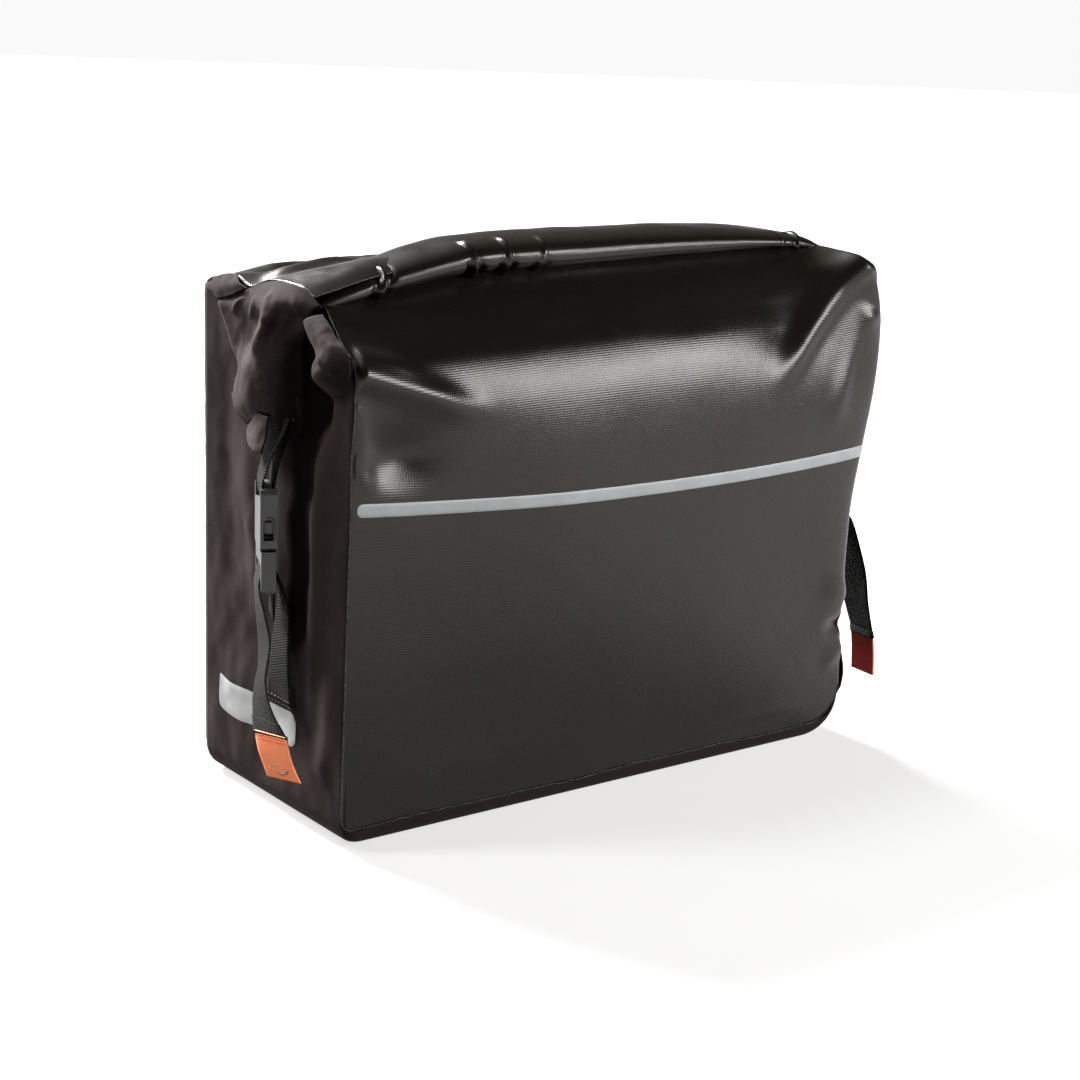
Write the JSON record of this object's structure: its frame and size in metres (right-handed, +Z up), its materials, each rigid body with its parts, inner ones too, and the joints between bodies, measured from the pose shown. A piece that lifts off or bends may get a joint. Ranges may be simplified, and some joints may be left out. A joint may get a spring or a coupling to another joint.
{
  "type": "bicycle pannier bag",
  "caption": "Rectangular roll-top bag that hangs on a bicycle rack by sprung rear hooks, its rolled closure clipped down at both sides by release buckles on webbing.",
  "frame": {"origin": "middle of the flat base, on the plane the bag stands on", "axes": "+X along the bag's width, -Y out of the striped front panel, +Y out of the rack side, +Z up"},
  "size_m": [0.499, 0.2093, 0.358],
  "materials": {
    "coated_tarpaulin": "glossy film-coated woven tarpaulin, near black",
    "gusset_fabric": "matte brown-grey woven fabric",
    "stiffener_plastic": "matte sheet plastic",
    "batten_plastic": "satin strip",
    "reflective_tape": "light grey reflective film",
    "patch_fabric": "matte woven patch",
    "black_webbing": "ribbed black webbing",
    "orange_tab": "orange folded label fabric",
    "buckle_plastic": "satin moulded plastic",
    "prong_plastic": "satin moulded plastic",
    "rail_aluminium": "satin anodised",
    "nut_bar_aluminium": "milled",
    "hook_plastic": "fine spark texture",
    "latch_plastic": "fine spark texture",
    "stainless_steel": "bright",
    "grip_rubber": "matte ribbed"
  },
  "bodies": {
    "bag": {"front_panel": "coated_tarpaulin", "gusset": "gusset_fabric", "back_panel": "coated_tarpaulin", "stiffener_board": "stiffener_plastic", "reflective_stripe": "reflective_tape", "left_reflector": "reflective_tape", "right_reflector": "reflective_tape", "left_anchor_patch": "patch_fabric", "right_anchor_patch": "patch_fabric", "left_anchor_strap": "black_webbing", "right_anchor_strap": "black_webbing", "upper_rail": "rail_aluminium", "lower_rail": "rail_aluminium", "upper_nut_bar": "nut_bar_aluminium", "lower_nut_bar": "nut_bar_aluminium", "upper_screw_1": "stainless_steel", "upper_screw_2": "stainless_steel", "upper_screw_3": "stainless_steel", "upper_screw_4": "stainless_steel", "lower_screw_1": "stainless_steel", "lower_screw_2": "stainless_steel", "left_handle_lug": "hook_plastic", "right_handle_lug": "hook_plastic", "left_handle_pin": "stainless_steel", "right_handle_pin": "stainless_steel"},
    "closure": {"roll_top": "coated_tarpaulin", "roll_batten": "batten_plastic", "left_ear": "gusset_fabric", "right_ear": "gusset_fabric", "left_upper_strap": "black_webbing", "right_upper_strap": "black_webbing", "left_socket": "buckle_plastic", "right_socket": "buckle_plastic"},
    "left_plug": {"left_plug": "buckle_plastic", "left_tail_strap": "black_webbing", "left_tab": "orange_tab"},
    "right_plug": {"right_plug": "buckle_plastic", "right_tail_strap": "black_webbing", "right_tab": "orange_tab"},
    "left_prong_front": {"left_prong_front": "prong_plastic"},
    "left_prong_rear": {"left_prong_rear": "prong_plastic"},
    "right_prong_front": {"right_prong_front": "prong_plastic"},
    "right_prong_rear": {"right_prong_rear": "prong_plastic"},
    "left_hook": {"left_hook": "hook_plastic", "left_latch_pin": "stainless_steel", "left_latch_spring": "stainless_steel"},
    "right_hook": {"right_hook": "hook_plastic", "right_latch_pin": "stainless_steel", "right_latch_spring": "stainless_steel"},
    "left_latch": {"left_latch": "latch_plastic"},
    "right_latch": {"right_latch": "latch_plastic"},
    "lower_carriage": {"lower_carriage": "hook_plastic", "fin_screw": "stainless_steel"},
    "lower_fin": {"lower_fin": "hook_plastic"},
    "handle": {"carry_handle": "black_webbing", "handle_grip": "grip_rubber"}
  },
  "joints": [
    {"name": "closure_lift", "type": "slide", "parent": "bag", "child": "closure", "axis": [0, 0, 1], "range_m": [0, 0.1]},
    {"name": "left_buckle_release", "type": "slide", "parent": "bag", "child": "left_plug", "axis": [0, 0, -1], "range_m": [0, 0.03]},
    {"name": "left_prong_front_squeeze", "type": "hinge", "parent": "left_plug", "child": "left_prong_front", "pos_m": [-0.23042, -0.02867, 0.18], "axis": [-0.9135, 0.4067, 0], "range_deg": [0, 8], "stiffness_Nm_per_rad": 0.05, "springref_deg": -5.73},
    {"name": "left_prong_rear_squeeze", "type": "hinge", "parent": "left_plug", "child": "left_prong_rear", "pos_m": [-0.22358, -0.01333, 0.18], "axis": [0.9135, -0.4067, 0], "range_deg": [0, 8], "stiffness_Nm_per_rad": 0.05, "springref_deg": -5.73},
    {"name": "left_hook_slide", "type": "slide", "parent": "bag", "child": "left_hook", "axis": [1, 0, 0], "range_m": [-0.015, 0.015]},
    {"name": "left_latch_hinge", "type": "hinge", "parent": "left_hook", "child": "left_latch", "pos_m": [-0.095, 0.098, 0.252], "axis": [-1, 0, 0], "range_deg": [0, 60], "stiffness_Nm_per_rad": 0.02, "springref_deg": -20.05},
    {"name": "right_buckle_release", "type": "slide", "parent": "bag", "child": "right_plug", "axis": [0, 0, -1], "range_m": [0, 0.03]},
    {"name": "right_prong_front_squeeze", "type": "hinge", "parent": "right_plug", "child": "right_prong_front", "pos_m": [0.23042, -0.04267, 0.18], "axis": [-0.9135, -0.4067, 0], "range_deg": [0, 8], "stiffness_Nm_per_rad": 0.05, "springref_deg": -5.73},
    {"name": "right_prong_rear_squeeze", "type": "hinge", "parent": "right_plug", "child": "right_prong_rear", "pos_m": [0.22358, -0.02733, 0.18], "axis": [0.9135, 0.4067, 0], "range_deg": [0, 8], "stiffness_Nm_per_rad": 0.05, "springref_deg": -5.73},
    {"name": "right_hook_slide", "type": "slide", "parent": "bag", "child": "right_hook", "axis": [1, 0, 0], "range_m": [-0.015, 0.015]},
    {"name": "right_latch_hinge", "type": "hinge", "parent": "right_hook", "child": "right_latch", "pos_m": [0.095, 0.098, 0.252], "axis": [-1, 0, 0], "range_deg": [0, 60], "stiffness_Nm_per_rad": 0.02, "springref_deg": -20.05},
    {"name": "lower_carriage_slide", "type": "slide", "parent": "bag", "child": "lower_carriage", "axis": [1, 0, 0], "range_m": [-0.06, 0.06]},
    {"name": "lower_fin_turn", "type": "hinge", "parent": "lower_carriage", "child": "lower_fin", "pos_m": [0, 0.1006, 0.128], "axis": [0, 1, 0], "range_deg": [-90, 90]},
    {"name": "handle_swing", "type": "hinge", "parent": "bag", "child": "handle", "pos_m": [0, 0.103, 0.274], "axis": [1, 0, 0], "range_deg": [0, 85]}
  ],
  "couplings": [
    {"joint": "left_prong_rear_squeeze", "follows": "left_prong_front_squeeze", "ratio": 1},
    {"joint": "right_prong_rear_squeeze", "follows": "right_prong_front_squeeze", "ratio": 1}
  ]
}
